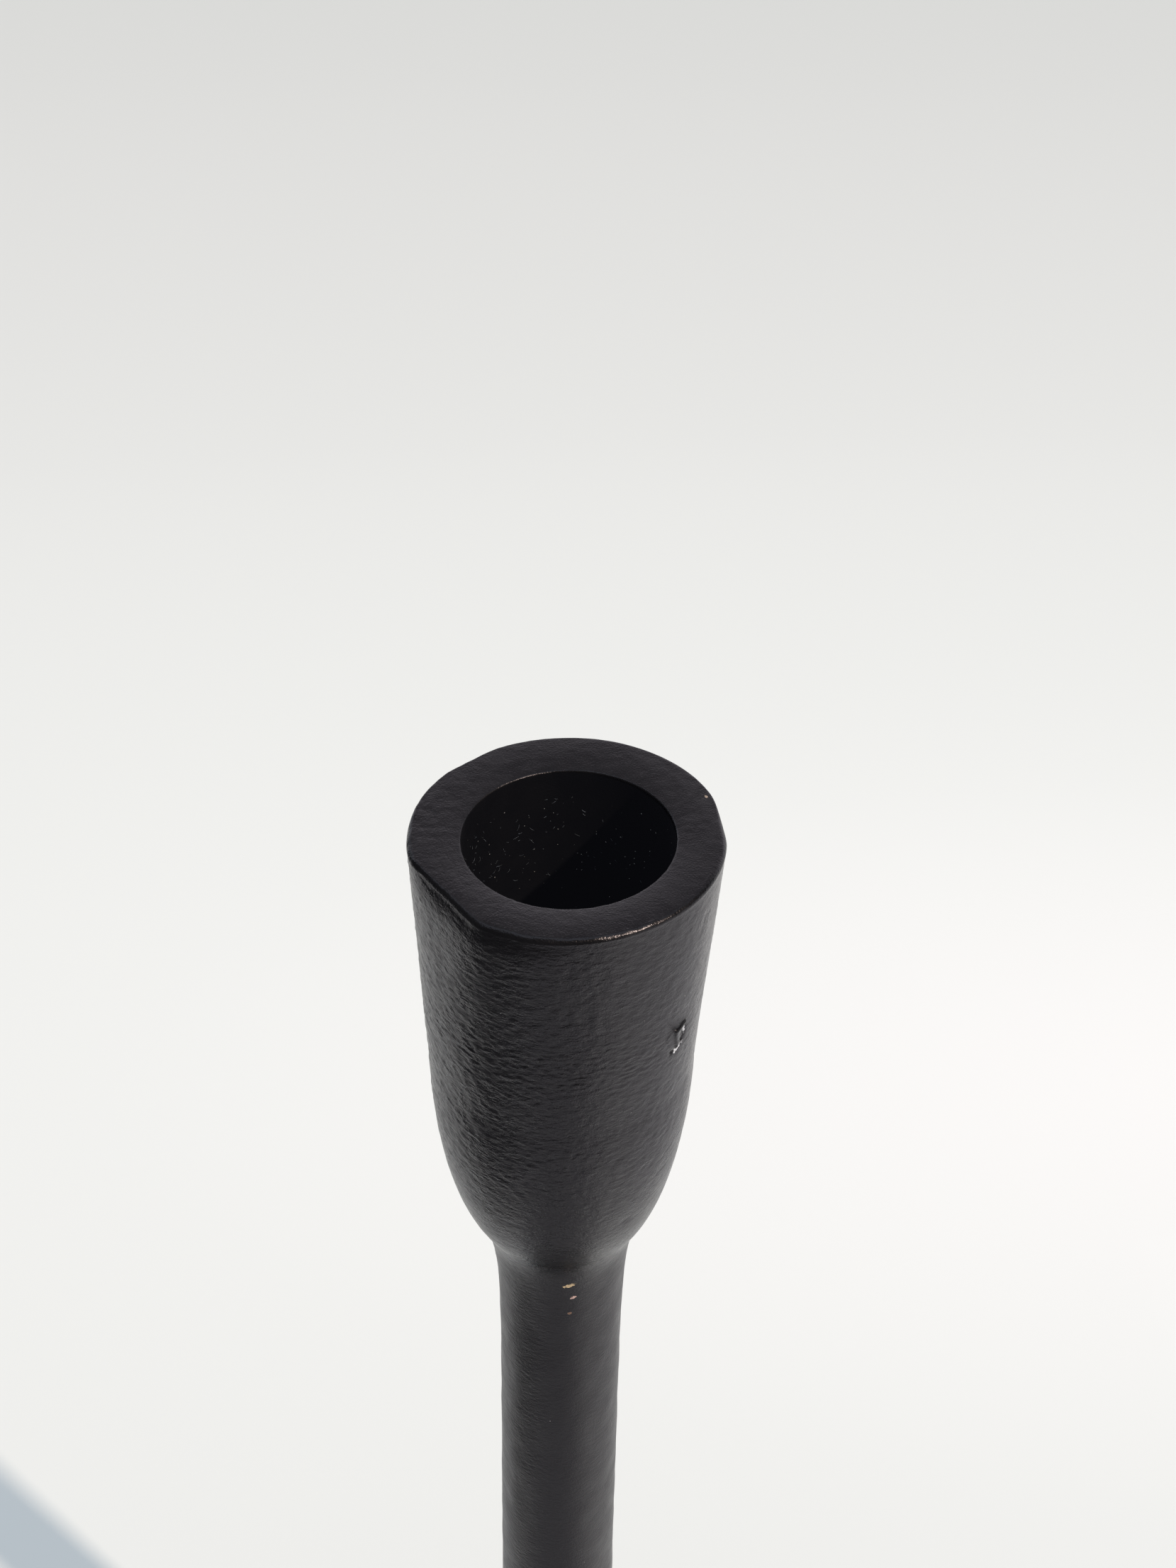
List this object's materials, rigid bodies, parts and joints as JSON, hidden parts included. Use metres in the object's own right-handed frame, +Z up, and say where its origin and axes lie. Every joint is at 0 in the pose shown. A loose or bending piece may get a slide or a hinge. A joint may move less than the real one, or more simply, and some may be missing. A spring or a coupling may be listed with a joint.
{
  "type": "candle holder",
  "caption": "Tall cast candle holder for one dinner candle: a deep bullet-shaped cup on a slim stem, bolted to a round domed base with felt pads.",
  "frame": {"origin": "on the table under the stem's axis, at the middle of the felt pads' undersides", "axes": "+Z up along the stem's axis, towards the rim; +Y away from the viewer; +X to the viewer's right"},
  "size_m": [0.1, 0.1, 0.28],
  "materials": {
    "painted_cup_and_stem": "satin black paint over a sand casting, with a fine leathery ripple",
    "painted_base": "satin black paint over a sand casting",
    "zinc_steel": "bright zinc plate",
    "felt": "black pressed wool felt"
  },
  "bodies": {
    "root": {"cup_and_stem": "painted_cup_and_stem", "base": "painted_base", "base_bolt": "zinc_steel", "plain_washer": "zinc_steel", "spring_washer": "zinc_steel", "felt_pad_1": "felt", "felt_pad_2": "felt", "felt_pad_3": "felt", "felt_pad_4": "felt"}
  },
  "joints": []
}
